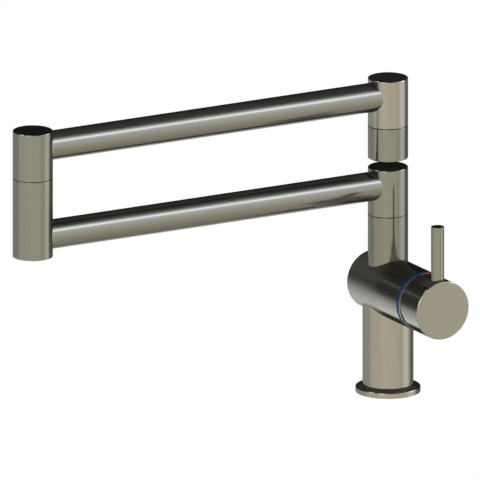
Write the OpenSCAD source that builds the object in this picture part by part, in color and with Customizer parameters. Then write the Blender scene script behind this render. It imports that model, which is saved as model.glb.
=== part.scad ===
// Single-lever kitchen mixer with a folding double-jointed spout.
// Origin on the tap's axis at the worktop's surface, +Z up, handle towards -Y, folded arms towards -X.

/* [Worktop fixing] */
// Thickness of the worktop that is clamped under the flange
worktop_t = 30; // [10:1:40]
// How far the flange stands out round the body
flange_reach = 5.3; // [4.5:0.1:12]
// Height of the flange's upright edge
flange_edge_h = 3.9; // [2.5:0.1:5]
// Height of the flange where it meets the body
flange_h = 6.3; // [5.2:0.1:10]
// Height of the flange's inner lip that the body stands on
flange_lip_h = 2.5; // [1.8:0.1:3.5]
// Diameter of the stud under the body
stud_d = 8; // [6:1:10]
// Clearance between the stud and the wall of the hose space
stud_wall_gap = 1.5; // [1:0.1:2]
// Length of the stud below the clamp nut
stud_free_l = 18; // [5:1:40]
// Diameter of the clamp plates under the worktop
clamp_d = 48; // [44:0.5:60]
// Width of the slot in the clamp plates that the hoses pass through
clamp_slot_w = 28; // [27:0.5:32]
// Thickness of the rubber clamp plate
clamp_gasket_t = 3; // [1:0.5:5]
// Thickness of the steel clamp plate
clamp_washer_t = 2; // [1.5:0.5:4]
// Size across the flats of the clamp nut
nut_af = 13; // [13:0.5:14]
// Height of the clamp nut
nut_h = 6.5; // [5:0.5:12]

/* [Body] */
// Diameter of the lower body
body_d = 38; // [37:0.5:44]
// Wall of the lower body round the hose space
body_wall = 2.5; // [2:0.1:2.9]
// Height of the hose space above the worktop
hose_space_h = 35; // [25:1:40]
// Diameter of the hose inlet threads
hose_thread_d = 10; // [8:0.5:10.5]
// Length of the hose inlet threads
hose_thread_l = 10; // [8:0.5:14]
// Distance between the two hose inlets
hose_spacing = 15; // [13.5:0.5:16]
// Distance of the hose inlets in front of the tap's axis
hose_offset = 4; // [3.5:0.1:5]
// Height of the barrel's axis above the worktop
barrel_z = 81.5; // [78:0.5:85]
// Wall of the barrel round the cartridge's nut
barrel_wall = 2.7; // [2.4:0.1:4]
// How far the barrel reaches behind the column's axis
barrel_rear = 22.6; // [18:0.2:30]
// How far the barrel reaches in front of the column's axis
barrel_front = 52.4; // [50:0.2:60]

/* [Column and joints] */
// Diameter of the column, the hub, the elbow and the outlet
column_d = 30; // [29:0.5:34]
// Height of the fixed column's top above the worktop
column_h = 136.9; // [134:0.1:180]
// Height of the dark seam at each joint
seam = 0.5; // [0.3:0.1:1]
// Height of the swivelling hub on the column
hub_h = 35.9; // [32:0.1:60]
// Wall of the column and the elbow round the swivel spindles
joint_wall = 4; // [3:0.1:4.5]
// Water bore through each spindle
water_d = 11; // [8:0.5:12]
// Thickness of the O-rings
oring_t = 2.5; // [2:0.1:2.8]
// Height of the split slide rings
slide_ring_h = 4; // [3:0.5:5]
// Diameter of the lock screws that hold the spindles
lock_screw_d = 4; // [3:0.5:4]

/* [Arms] */
// Distance from the column's axis to the elbow's axis
arm_pitch = 304; // [200:1:400]
// Outer diameter of the arm tubes
arm_d = 22; // [18:0.5:23]
// Wall of the arm tubes
arm_wall = 1.5; // [1:0.1:2.5]
// Metal left above each arm tube in its hub
arm_cover = 2.6; // [1.5:0.1:6]
// Metal left under the lower arm tube in the elbow
elbow_foot = 3.8; // [2:0.1:10]

/* [Outlet] */
// Gap between the hub and the outlet that folds over it
outlet_gap = 6.9; // [5:0.1:20]
// Height of the outlet nozzle
nozzle_h = 25.1; // [24.5:0.1:40]
// Height of the outlet head and of the elbow's upper part
head_h = 36.2; // [32:0.1:50]
// Diameter of the aerator's thread
aerator_d = 24; // [22:0.5:25]
// Height of the aerator's housing
aerator_h = 8.5; // [7:0.5:9]
// Width of each hexagonal cell of the flow straightener
cell_w = 1.9; // [1.2:0.1:2.4]

/* [Handle] */
// How far the blue and red indicator ring stands proud of the barrel
ring_proud = 0.2; // [0:0.1:1]
// Thickness of the indicator ring
ring_t = 1.9; // [1:0.1:3]
// How far the collar in front of the indicator ring is set in from the barrel
collar_step = 0.3; // [0:0.1:1]
// Thickness of the collar
collar_t = 1.8; // [1:0.1:2.6]
// How far the handle cap is set in from the barrel
cap_step = 0.1; // [0:0.1:1]
// Length of the handle cap
cap_l = 25.7; // [25:0.1:32]
// Gap between the collar and the upper half of the cap
cap_gap = 1.5; // [1.5:0.1:3]
// Wall of the cap round its hollow
cap_wall = 3.3; // [2:0.1:3.6]
// Solid metal at the cap's front
cap_front_t = 14.8; // [14.6:0.1:16]
// How far the handle tilts forward to open the tap, in degrees
tilt_max = 20; // [15:1:22]
// Diameter of the lever
lever_d = 9.8; // [8:0.1:10.4]
// How far the lever rises above the cap
lever_rise = 40.8; // [30:0.5:80]
// Distance from the cap's front face to the lever's axis
lever_inset = 8.1; // [7.8:0.1:8.6]
// How deep the lever sits in the cap
lever_seat = 5; // [3:0.1:7]
// Diameter of the lever's thread
lever_thread_d = 6; // [5:0.5:7]
// Diameter of the grub screw that locks the cap
cap_screw_d = 5; // [4:0.5:5.5]

/* [Cartridge] */
// Diameter of the ceramic cartridge
cartridge_d = 35; // [34:0.5:36]
// Depth of the chamber's floor in front of the column's axis
chamber_floor = 14; // [13:0.1:14.5]
// Thickness of the three-port foot
base_t = 5; // [4:0.1:5.5]
// Thickness of each ceramic disc
disc_t = 4; // [3:0.1:4.2]
// Diameter of the moving disc's pocket
pocket_d = 11.6; // [11:0.1:12]
// Distance between the two inlet ports
port_spacing = 12.6; // [12.4:0.1:13]
// Height of the inlet ports above the cartridge's axis
port_rise = 5.8; // [5.5:0.1:6]
// Depth of the outlet port below the cartridge's axis
outlet_drop = 3; // [2.5:0.1:4]
// Diameter of the inlet ports
inlet_d = 4.4; // [4:0.1:4.6]
// Diameter of the outlet port
outlet_d = 5.2; // [4.5:0.1:5.6]
// Width of the stem's square bar
stem_w = 7.8; // [7:0.1:8]
// Diameter of the pin that the stem tilts on
stem_pin_d = 3; // [2:0.1:3.4]
// Distance from the stem's ball to its pin
stem_arm = 11; // [10.8:0.1:11.4]

/* [Hidden] */
$fn = 96;

steel = [0.62, 0.60, 0.54];
bright_steel = [0.75, 0.75, 0.74];
brass = [0.78, 0.65, 0.35];
black_rubber = [0.08, 0.08, 0.08];
white_plastic = [0.90, 0.90, 0.88];
grey_plastic = [0.55, 0.57, 0.60];
ceramic = [0.95, 0.93, 0.88];
cold_blue = [0.05, 0.16, 0.48];
hot_red = [0.62, 0.08, 0.12];

// Overrun of every cut
cut = 1;
// Radial clearance of pieces that stay put in one another
fit = 0.03;
// Radial clearance of pieces that turn in one another
running_fit = 0.05;
// Clearance between faces that slide past one another
face_gap = 0.3;
// Bevel on the rims that show, on the seams, and on the nozzle's mouth
rim_bevel = 0.4;
seam_bevel = 0.2;
mouth_bevel = 0.6;

// Worktop fixing
flange_seat_wall = 2;
flange_bore_d = body_d - 2 * flange_seat_wall;
flange_d = body_d + 2 * flange_reach;
base_seal_t = 1.4;
seal_in_share = 0.35;
seal_out_share = 0.8;
base_seal_in_d = flange_bore_d + (flange_d - flange_bore_d) * seal_in_share;
base_seal_out_d = flange_bore_d + (flange_d - flange_bore_d) * seal_out_share;
hose_space_d = body_d - 2 * body_wall;
stud_offset = hose_space_d / 2 - stud_wall_gap - stud_d / 2;
stud_thread_l = 12;
stud_clearance = 0.5;
clamp_slot_web = 1;
clamp_top_z = -worktop_t;
nut_top_z = clamp_top_z - clamp_gasket_t - clamp_washer_t;
stud_bottom_z = nut_top_z - nut_h - stud_free_l;
stud_top_z = hose_space_h + stud_thread_l;

// Body
chamber_clearance = 0.2;
chamber_d = cartridge_d + 2 * chamber_clearance;
nut_thread_depth = 2;
nut_bore_d = chamber_d + 2 * nut_thread_depth;
barrel_d = nut_bore_d + 2 * barrel_wall;
passage_oversize = 0.8;
passage_end = 0.5;
supply_d = inlet_d + passage_oversize;
riser_d = outlet_d + passage_oversize;

// Swivel joints, measured down from the bottom of the swivelling part
joint_bore_d = column_d - 2 * joint_wall;
spindle_land = 2;
slide_ring_t = 1.8;
ring_split = 1.5;
land_clearance = 0.4;
groove_share = 1.3;
oring_groove_h = oring_t * groove_share;
lock_groove_h = lock_screw_d + 2 * face_gap;
spindle_d = joint_bore_d - 2 * land_clearance;
ring_out_d = joint_bore_d - 2 * running_fit;
ring_in_d = ring_out_d - 2 * slide_ring_t;
oring_in_d = ring_out_d - 2 * oring_t;
lock_groove_d = oring_in_d;
spindle_l = 6 * spindle_land + 2 * slide_ring_h + 2 * oring_groove_h + lock_groove_h;
slide_ring_drops = [
    spindle_land + slide_ring_h,
    spindle_l - spindle_land
];
oring_drops = [
    2 * spindle_land + slide_ring_h + oring_groove_h / 2,
    3 * spindle_land + slide_ring_h + oring_groove_h * 3 / 2
];
lock_drop = 4 * spindle_land + slide_ring_h + 2 * oring_groove_h + lock_groove_h / 2;
spindle_end_gap = 1;
joint_bore_l = spindle_l + spindle_end_gap - seam;
lock_recess = 0.8;
key_share = 0.5;

// Spout heights
hub_z = column_h + seam;
hub_top_z = hub_z + hub_h;
arm_drop = arm_cover + arm_d / 2;
lower_arm_z = hub_top_z - arm_drop;
nozzle_z = hub_top_z + outlet_gap;
nozzle_top_z = nozzle_z + nozzle_h;
head_z = nozzle_top_z + seam;
upper_arm_z = head_z + head_h - arm_drop;
elbow_z = lower_arm_z - arm_d / 2 - elbow_foot;
elbow_h = nozzle_top_z - elbow_z;
arm_insert = 7;
arm_end = column_d / 2 - arm_insert;
arm_water_d = water_d - passage_oversize;

// Outlet
nipple_d = joint_bore_d;
nipple_l = 8;
nipple_land = 1;
nozzle_ledge = 2;
nozzle_bore_d = nipple_d - 2 * nozzle_ledge;
aerator_recess = 0.6;
aerator_wall = 2.2;
aerator_lip = 0.9;
aerator_gasket_t = 1.5;
aerator_gasket_w = 3;
aerator_z = nozzle_z + aerator_recess;
aerator_bore_l = aerator_recess + aerator_h + aerator_gasket_t;
cell_wall = 0.4;
cell_rings = 3;
key_notch_w = 2.2;
key_notch_h = 1.5;

// Cartridge, measured forwards from the column's axis
film = 0.05;
fixed_disc_s = chamber_floor + base_t;
moving_disc_s = fixed_disc_s + disc_t + film;
carrier_s = moving_disc_s + disc_t;
housing_wall = 1.6;
housing_bore_d = cartridge_d - 2 * housing_wall;
disc_travel = stem_arm * sin(tilt_max);
disc_margin = 0.45;
moving_disc_d = housing_bore_d - 2 * (disc_travel + disc_margin);
carrier_t = 6;
ball_d = 5;
ball_s = carrier_s + carrier_t / 2;
rotor_s = carrier_s + carrier_t + face_gap;
rotor_flange_t = 3;
shoulder_s = rotor_s + rotor_flange_t + face_gap;
shoulder_t = 4;
housing_l = shoulder_s + shoulder_t - fixed_disc_s;
rotor_flange_d = housing_bore_d - 2 * face_gap;
rotor_step = 5.5;
rotor_neck_d = cartridge_d - 2 * rotor_step;
pin_s = ball_s + stem_arm;
rotor_nose = 8;
rotor_l = pin_s + rotor_nose - rotor_s;
rotor_cheek = 3.5;
stem_slot_h = rotor_neck_d - 2 * rotor_cheek;
stem_neck_d = 3.2;
stem_heel = 4;
socket_mouth_d = 7.6;
nut_s = fixed_disc_s + housing_l;
nut_hole_clearance = 1;
nut_hole_d = rotor_neck_d + 2 * nut_hole_clearance;
nut_hub_step = 0.5;
nut_hub_d = cartridge_d - 2 * nut_hub_step;
nut_hub_lip = 1.1;
nut_notch_w = 4;
nut_notch_h = 1;
peg_d = 3;
peg_l = 2;
peg_inset = 5;
peg_spacing = cartridge_d - 2 * peg_inset;
peg_drop = 3;
port_seal_t = 1.4;
port_seal_w = 1.4;
port_seal_inset = 0.3;
ports = [
    [-port_spacing / 2, port_rise, inlet_d],
    [port_spacing / 2, port_rise, inlet_d],
    [0, -outlet_drop, outlet_d]
];
pocket_depth = 2;

// Handle, measured forwards from the column's axis
ring_d = barrel_d + 2 * ring_proud;
collar_d = barrel_d - 2 * collar_step;
cap_d = barrel_d - 2 * cap_step;
collar_s = barrel_front + ring_t;
nut_front_s = collar_s + collar_t + nut_hub_lip;
cap_s = collar_s + collar_t + cap_gap;
cap_front_s = cap_s + cap_l;
lever_s = cap_front_s - lever_inset;
relief_margin = 2;
relief_angle = tilt_max + relief_margin;
stem_tip_wall = 4;
stem_end_s = cap_front_s - stem_tip_wall;
lever_floor_z = barrel_z + cap_d / 2 - lever_seat;
lever_thread_l = 7;
thread_run_out = 1;
cap_screw_l = 8;

// Straight round bar with a bevel at each end
module bevelled_bar(d, h, low_bevel, high_bevel) {
    rotate_extrude()
        polygon([
            [0, 0], [d / 2 - low_bevel, 0], [d / 2, low_bevel],
            [d / 2, h - high_bevel], [d / 2 - high_bevel, h], [0, h]
        ]);
}

// Flat ring
module ring(out_d, in_d, h) {
    difference() {
        cylinder(d = out_d, h = h);
        translate([0, 0, -cut]) cylinder(d = in_d, h = h + 2 * cut);
    }
}

// Places its children on the handle's axis, s in front of the column, with their +Z forwards
module on_handle_axis(s) {
    translate([0, -s, barrel_z]) rotate([90, 0, 0]) children();
}

// Worktop fixing

module base_flange() {
    color(steel) difference() {
        rotate_extrude()
            polygon([
                [flange_bore_d / 2, 0],
                [flange_d / 2 - seam_bevel, 0],
                [flange_d / 2, seam_bevel],
                [flange_d / 2, flange_edge_h - rim_bevel],
                [flange_d / 2 - rim_bevel, flange_edge_h],
                [body_d / 2 + fit, flange_h],
                [body_d / 2 + fit, flange_lip_h],
                [flange_bore_d / 2, flange_lip_h]
            ]);
        translate([0, 0, -cut])
            ring(base_seal_out_d + 2 * fit, base_seal_in_d - 2 * fit, base_seal_t + cut);
    }
}

module base_seal() {
    color(black_rubber) ring(base_seal_out_d, base_seal_in_d, base_seal_t);
}

module fixing_stud() {
    color(bright_steel) translate([0, stud_offset, stud_bottom_z])
        bevelled_bar(stud_d - 2 * fit, stud_top_z - stud_bottom_z, rim_bevel, rim_bevel);
}

// Plate with a slot that slips over the hoses, and a hole for the stud
module clamp_plate(t) {
    web_y = stud_offset - stud_d / 2 - stud_clearance - clamp_slot_web;
    linear_extrude(t) difference() {
        circle(d = clamp_d);
        translate([-clamp_slot_w / 2, -clamp_d]) square([clamp_slot_w, clamp_d + web_y]);
        translate([0, stud_offset]) circle(d = stud_d + 2 * stud_clearance);
    }
}

module clamp_gasket() {
    color(black_rubber) translate([0, 0, clamp_top_z - clamp_gasket_t]) clamp_plate(clamp_gasket_t);
}

module clamp_washer() {
    color(bright_steel) translate([0, 0, nut_top_z]) clamp_plate(clamp_washer_t);
}

module clamp_nut() {
    corner_d = nut_af / cos(30);
    color(bright_steel) translate([0, stud_offset, nut_top_z - nut_h]) difference() {
        intersection() {
            cylinder(d = corner_d, h = nut_h, $fn = 6);
            bevelled_bar(corner_d + rim_bevel, nut_h, rim_bevel * 2, rim_bevel * 2);
        }
        translate([0, 0, -cut]) cylinder(d = stud_d, h = nut_h + 2 * cut);
    }
}

// Body

// Supply passage from one hose inlet up and forwards to its port, on side -1 or 1
module supply_passage(side) {
    supply_l = barrel_z + port_rise + supply_d / 2 + passage_end - hose_space_h;
    translate([side * hose_spacing / 2, -hose_offset, hose_space_h - cut])
        cylinder(d = hose_thread_d, h = hose_thread_l + cut);
    translate([side * port_spacing / 2, -hose_offset, hose_space_h])
        cylinder(d = supply_d, h = supply_l);
    on_handle_axis(hose_offset) translate([side * port_spacing / 2, port_rise, 0])
        cylinder(d = inlet_d, h = chamber_floor - hose_offset + cut);
}

// Outlet passage from its port back to the column's axis and up to the joint's bore
module outlet_passage() {
    riser_z = barrel_z - outlet_drop - riser_d / 2 - passage_end;
    on_handle_axis(0) translate([0, -outlet_drop, 0])
        cylinder(d = outlet_d, h = chamber_floor + cut);
    translate([0, 0, riser_z])
        cylinder(d = riser_d, h = column_h - joint_bore_l - riser_z + cut);
}

// Bore and lock screw hole for a spindle, below a rim at z
module joint_bore(z) {
    translate([0, 0, z - joint_bore_l]) cylinder(d = joint_bore_d, h = joint_bore_l + cut);
    translate([0, 0, z + seam - lock_drop]) rotate([-90, 0, 0])
        cylinder(d = lock_screw_d, h = column_d / 2 + cut);
}

module tap_body() {
    color(steel) difference() {
        union() {
            translate([0, 0, flange_lip_h]) cylinder(d = body_d, h = barrel_z - flange_lip_h);
            on_handle_axis(-barrel_rear)
                bevelled_bar(barrel_d, barrel_rear + barrel_front, rim_bevel, seam_bevel);
            translate([0, 0, barrel_z])
                bevelled_bar(column_d, column_h - barrel_z, seam_bevel, seam_bevel);
        }
        translate([0, 0, flange_lip_h - cut])
            cylinder(d = hose_space_d, h = hose_space_h - flange_lip_h + cut);
        translate([0, stud_offset, hose_space_h - cut]) cylinder(d = stud_d, h = stud_thread_l + cut);
        supply_passage(-1);
        supply_passage(1);
        outlet_passage();
        joint_bore(column_h);
        on_handle_axis(chamber_floor) cylinder(d = chamber_d, h = barrel_front - chamber_floor + cut);
        on_handle_axis(nut_s) cylinder(d = nut_bore_d, h = barrel_front - nut_s + cut);
        on_handle_axis(chamber_floor - peg_l - face_gap) pegs(peg_d + 2 * fit, peg_l + face_gap + cut);
    }
}

// Cartridge

module pegs(d, h) {
    for (side = [-1, 1])
        translate([side * peg_spacing / 2, -peg_drop, 0]) cylinder(d = d, h = h);
}

module cartridge_base() {
    color(white_plastic) on_handle_axis(chamber_floor) difference() {
        union() {
            cylinder(d = cartridge_d, h = base_t);
            translate([0, 0, -peg_l]) pegs(peg_d, peg_l + cut);
        }
        for (port = ports) translate([port[0], port[1], -cut]) {
            cylinder(d = port[2], h = base_t + 2 * cut);
            cylinder(d = port[2] + 2 * (port_seal_inset + port_seal_w + fit), h = port_seal_t + cut);
        }
    }
}

module port_seals() {
    color(black_rubber) on_handle_axis(chamber_floor)
        for (port = ports) translate([port[0], port[1], 0])
            ring(port[2] + 2 * (port_seal_inset + port_seal_w), port[2] + 2 * port_seal_inset, port_seal_t);
}

module fixed_disc() {
    color(ceramic) on_handle_axis(fixed_disc_s) difference() {
        cylinder(d = housing_bore_d - 2 * fit, h = disc_t);
        for (port = ports)
            translate([port[0], port[1], -cut]) cylinder(d = port[2], h = disc_t + 2 * cut);
    }
}

// Disc with a blind pocket that joins the ports as it slides
module moving_disc() {
    color(ceramic) on_handle_axis(moving_disc_s) difference() {
        cylinder(d = moving_disc_d, h = disc_t);
        translate([0, 0, -cut]) cylinder(d = pocket_d, h = pocket_depth + cut);
    }
}

// Carrier with a flared socket for the stem's ball
module disc_carrier() {
    socket_d = ball_d + 2 * running_fit;
    color(grey_plastic) on_handle_axis(carrier_s) difference() {
        cylinder(d = moving_disc_d, h = carrier_t);
        translate([0, 0, film * 2]) cylinder(d = socket_d, h = carrier_t);
        translate([0, 0, carrier_t / 2])
            cylinder(d1 = socket_d, d2 = socket_mouth_d, h = carrier_t / 2);
        translate([0, 0, carrier_t]) cylinder(d = socket_mouth_d, h = cut);
    }
}

module cartridge_housing() {
    color(grey_plastic) on_handle_axis(fixed_disc_s) difference() {
        cylinder(d = cartridge_d, h = housing_l);
        translate([0, 0, -cut]) cylinder(d = housing_bore_d, h = housing_l - shoulder_t + cut);
        cylinder(d = rotor_neck_d + 2 * running_fit, h = housing_l + cut);
    }
}

module cartridge_rotor() {
    slot_w = stem_w + 2 * face_gap;
    color(white_plastic) on_handle_axis(rotor_s) difference() {
        union() {
            cylinder(d = rotor_flange_d, h = rotor_flange_t);
            cylinder(d = rotor_neck_d, h = rotor_l);
        }
        translate([-slot_w / 2, -stem_slot_h / 2, -cut]) cube([slot_w, stem_slot_h, rotor_l + 2 * cut]);
        translate([-rotor_neck_d / 2 - cut, 0, pin_s - rotor_s]) rotate([0, 90, 0])
            cylinder(d = stem_pin_d + 2 * fit, h = rotor_neck_d + 2 * cut);
    }
}

module stem_pin() {
    pin_l = rotor_neck_d - 2 * rim_bevel;
    color(bright_steel) on_handle_axis(pin_s) translate([-pin_l / 2, 0, 0]) rotate([0, 90, 0])
        cylinder(d = stem_pin_d, h = pin_l);
}

// Stem with a ball end that drives the carrier and a square end that carries the cap
module control_stem() {
    heel_s = pin_s - stem_heel;
    color(brass) difference() {
        union() {
            on_handle_axis(ball_s) sphere(d = ball_d);
            on_handle_axis(ball_s) cylinder(d = stem_neck_d, h = heel_s - ball_s + cut);
            on_handle_axis(heel_s) translate([-stem_w / 2, -stem_w / 2, 0])
                cube([stem_w, stem_w, stem_end_s - heel_s]);
        }
        on_handle_axis(pin_s) translate([-stem_w, 0, 0]) rotate([0, 90, 0])
            cylinder(d = stem_pin_d + 2 * running_fit, h = stem_w * 2);
    }
}

// Threaded ring nut with a hub that carries the indicator ring and the collar,
// and notches in the hub's front for the key that tightens it
module cartridge_nut() {
    nut_l = nut_front_s - nut_s;
    color(brass) on_handle_axis(nut_s) difference() {
        union() {
            cylinder(d = nut_bore_d - 2 * fit, h = barrel_front - nut_s);
            cylinder(d = nut_hub_d, h = nut_l);
        }
        translate([0, 0, -cut]) cylinder(d = nut_hole_d, h = nut_l + 2 * cut);
        for (turn = [0:90:270]) rotate(turn + 45)
            translate([0, -nut_notch_w / 2, nut_l - nut_notch_h])
                cube([nut_hub_d, nut_notch_w, nut_notch_h + cut]);
    }
}

// Handle

// Half of the indicator ring, on side -1 or 1
module ring_half(side) {
    on_handle_axis(barrel_front) linear_extrude(ring_t) difference() {
        circle(d = ring_d);
        circle(d = nut_hub_d + 2 * fit);
        translate([side > 0 ? -ring_d : 0, -ring_d]) square([ring_d, 2 * ring_d]);
    }
}

module cold_ring_half() {
    color(cold_blue) ring_half(-1);
}

module hot_ring_half() {
    color(hot_red) ring_half(1);
}

module seat_collar() {
    color(bright_steel) on_handle_axis(collar_s) difference() {
        bevelled_bar(collar_d, collar_t, seam_bevel, seam_bevel);
        translate([0, 0, -cut]) cylinder(d = nut_hub_d + 2 * fit, h = collar_t + 2 * cut);
    }
}

// Cap with a hollow for the nut's hub, a relief behind its lower half, and the sockets
// for the stem, the lever and the grub screw
module handle_cap() {
    hollow_l = cap_l - cap_front_t;
    socket_w = stem_w + 2 * fit;
    color(steel) on_handle_axis(cap_s) difference() {
        bevelled_bar(cap_d, cap_l, seam_bevel, rim_bevel);
        translate([0, 0, -cut]) cylinder(d = cap_d - 2 * cap_wall, h = hollow_l + cut);
        translate([-socket_w / 2, -socket_w / 2, 0])
            cube([socket_w, socket_w, stem_end_s - cap_s + fit]);
        translate([0, 0, lever_s - cap_s]) rotate([-90, 0, 0]) {
            translate([0, 0, cap_d / 2 - lever_seat - fit])
                cylinder(d = lever_d + 2 * fit, h = lever_seat + cut);
            translate([0, 0, cap_d / 2 - lever_seat - lever_thread_l - thread_run_out])
                cylinder(d = lever_thread_d + 2 * fit, h = lever_thread_l + cut);
        }
        translate([0, 0, lever_s - cap_s]) rotate([90, 0, 0])
            cylinder(d = cap_screw_d, h = cap_d / 2 + cut);
        rotate([-relief_angle, 0, 0]) translate([-cap_d / 2 - cut, -cap_d, -cap_d])
            cube([cap_d + 2 * cut, cap_d, cap_d]);
    }
}

module lever_pin() {
    color(steel) {
        translate([0, -lever_s, lever_floor_z])
            bevelled_bar(lever_d, lever_seat + lever_rise, seam_bevel, rim_bevel);
        translate([0, -lever_s, lever_floor_z - lever_thread_l])
            cylinder(d = lever_thread_d, h = lever_thread_l + cut);
    }
}

// Grub screw with a hexagonal key socket, tip at the origin and pointing to -Z
module grub_screw(d, l) {
    difference() {
        cylinder(d = d, h = l);
        translate([0, 0, l / 2]) cylinder(d = d * key_share, h = l, $fn = 6);
    }
}

module handle_grub_screw() {
    color(bright_steel) on_handle_axis(lever_s) rotate([90, 0, 0]) translate([0, 0, stem_w / 2 + fit])
        grub_screw(cap_screw_d - 2 * fit, cap_screw_l);
}

// Swivel joints

// Groove of height h cut round the spindle to diameter d, centred at z
module groove(z, h, d) {
    translate([0, 0, z - h / 2]) ring(joint_bore_d + cut, d, h);
}

// Spindle that hangs below the origin, with grooves for its rings and its lock screw
module spindle() {
    difference() {
        translate([0, 0, -spindle_l]) bevelled_bar(spindle_d, spindle_l + cut, rim_bevel, seam_bevel);
        for (drop = slide_ring_drops)
            groove(slide_ring_h / 2 - drop, slide_ring_h + 2 * film, ring_in_d - 2 * fit);
        for (drop = oring_drops) groove(-drop, oring_groove_h, oring_in_d - 2 * fit);
        groove(-lock_drop, lock_groove_h, lock_groove_d);
    }
}

module slide_rings() {
    for (drop = slide_ring_drops) translate([0, 0, -drop]) difference() {
        ring(ring_out_d, ring_in_d, slide_ring_h);
        translate([0, -ring_split / 2, -cut]) cube([joint_bore_d, ring_split, slide_ring_h + 2 * cut]);
    }
}

module orings() {
    for (drop = oring_drops) translate([0, 0, -drop])
        rotate_extrude() translate([(ring_out_d - oring_t) / 2, 0]) circle(d = oring_t);
}

// Thin washer on the rim of a joint, which shows as the dark seam
module joint_washer() {
    ring(column_d - 2 * rim_bevel, joint_bore_d, seam - film);
}

// Lock screw for a joint whose swivelling part starts at the origin
module lock_screw() {
    tip = lock_groove_d / 2 + face_gap;
    translate([0, 0, -lock_drop]) rotate([-90, 0, 0]) translate([0, 0, tip])
        grub_screw(lock_screw_d - 2 * fit, column_d / 2 - lock_recess - tip);
}

// Round block that takes the end of an arm tube on side -1 or 1, with its axis at arm_z
module arm_block(h, arm_z, side) {
    difference() {
        bevelled_bar(column_d, h, seam_bevel, rim_bevel);
        translate([0, 0, arm_z]) rotate([0, side * 90, 0]) {
            translate([0, 0, arm_end]) cylinder(d = arm_d + 2 * fit, h = arm_insert + cut);
            cylinder(d = arm_water_d, h = column_d / 2);
        }
    }
}

// Block with a spindle below it and a water bore up to its arm
module swivel_block(h, side) {
    difference() {
        union() {
            arm_block(h, h - arm_drop, side);
            spindle();
        }
        translate([0, 0, -spindle_l - cut])
            cylinder(d = water_d, h = spindle_l + h - arm_drop + water_d / 2 + cut);
    }
}

module column_washer() {
    color(black_rubber) translate([0, 0, column_h]) joint_washer();
}

module column_slide_rings() {
    color(white_plastic) translate([0, 0, hub_z]) slide_rings();
}

module column_orings() {
    color(black_rubber) translate([0, 0, hub_z]) orings();
}

module column_lock_screw() {
    color(bright_steel) translate([0, 0, hub_z]) lock_screw();
}

// Spout

// Arm tube along X between its two blocks, at height z
module arm_tube(z) {
    tube_l = arm_pitch - 2 * arm_end;
    color(steel) translate([-arm_end, 0, z]) rotate([0, -90, 0]) ring(arm_d, arm_d - 2 * arm_wall, tube_l);
}

module lower_hub() {
    color(steel) translate([0, 0, hub_z]) swivel_block(hub_h, -1);
}

module lower_arm_tube() {
    arm_tube(lower_arm_z);
}

module elbow_socket() {
    arm_z = lower_arm_z - elbow_z;
    color(steel) translate([-arm_pitch, 0, elbow_z]) difference() {
        arm_block(elbow_h, arm_z, 1);
        joint_bore(elbow_h);
        translate([0, 0, arm_z - water_d / 2])
            cylinder(d = water_d, h = elbow_h - joint_bore_l - arm_z + water_d / 2 + cut);
    }
}

module elbow_washer() {
    color(black_rubber) translate([-arm_pitch, 0, nozzle_top_z]) joint_washer();
}

module elbow_slide_rings() {
    color(white_plastic) translate([-arm_pitch, 0, head_z]) slide_rings();
}

module elbow_orings() {
    color(black_rubber) translate([-arm_pitch, 0, head_z]) orings();
}

module elbow_lock_screw() {
    color(bright_steel) translate([-arm_pitch, 0, head_z]) lock_screw();
}

module elbow_head() {
    color(steel) translate([-arm_pitch, 0, head_z]) swivel_block(head_h, 1);
}

module upper_arm_tube() {
    arm_tube(upper_arm_z);
}

// Outlet

// Head with a threaded nipple below it that carries the nozzle
module outlet_head() {
    arm_z = head_h - arm_drop;
    color(steel) translate([0, 0, head_z]) difference() {
        union() {
            arm_block(head_h, arm_z, -1);
            translate([0, 0, -nipple_l]) cylinder(d = nipple_d - 2 * fit, h = nipple_l + cut);
        }
        translate([0, 0, -nipple_l - cut])
            cylinder(d = water_d, h = nipple_l + arm_z + water_d / 2 + cut);
    }
}

module nozzle_seal() {
    color(black_rubber) translate([0, 0, nozzle_top_z]) ring(column_d - 2 * rim_bevel, nipple_d, seam);
}

module outlet_nozzle() {
    nipple_hole_l = nipple_l - seam + nipple_land;
    color(steel) translate([0, 0, nozzle_z]) difference() {
        bevelled_bar(column_d, nozzle_h, mouth_bevel, seam_bevel);
        translate([0, 0, -cut]) cylinder(d = aerator_d + 2 * fit, h = aerator_bore_l + cut);
        translate([0, 0, -cut]) cylinder(d = nozzle_bore_d, h = nozzle_h + 2 * cut);
        translate([0, 0, nozzle_h - nipple_hole_l]) cylinder(d = nipple_d, h = nipple_hole_l + cut);
    }
}

module aerator_gasket() {
    color(black_rubber) translate([0, 0, aerator_z + aerator_h])
        ring(aerator_d - 2 * fit, aerator_d - 2 * aerator_gasket_w, aerator_gasket_t);
}

// Straightener with rings of hexagonal cells
module aerator_insert() {
    pitch = cell_w + cell_wall;
    color(white_plastic) translate([0, 0, aerator_z + aerator_lip])
        linear_extrude(aerator_h - aerator_lip) difference() {
            circle(d = aerator_d - 2 * aerator_wall - 2 * fit);
            for (row = [-cell_rings:cell_rings], col = [-cell_rings:cell_rings])
                if (abs(row + col) <= cell_rings)
                    translate([pitch * (col + row / 2), pitch * row * sin(60)])
                        rotate(30) circle(d = cell_w / cos(30), $fn = 6);
        }
}

// Housing with an inner lip and four key notches at its mouth
module aerator_housing() {
    mouth_d = aerator_d - 2 * aerator_wall - 2 * aerator_lip;
    color(bright_steel) translate([0, 0, aerator_z]) difference() {
        cylinder(d = aerator_d, h = aerator_h);
        translate([0, 0, aerator_lip]) cylinder(d = aerator_d - 2 * aerator_wall, h = aerator_h);
        translate([0, 0, -cut]) cylinder(d = mouth_d, h = aerator_lip + 2 * cut);
        for (turn = [0:90:270]) rotate(turn) translate([mouth_d / 2 - cut, -key_notch_w / 2, -cut])
            cube([aerator_d / 2, key_notch_w, key_notch_h + cut]);
    }
}

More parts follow.
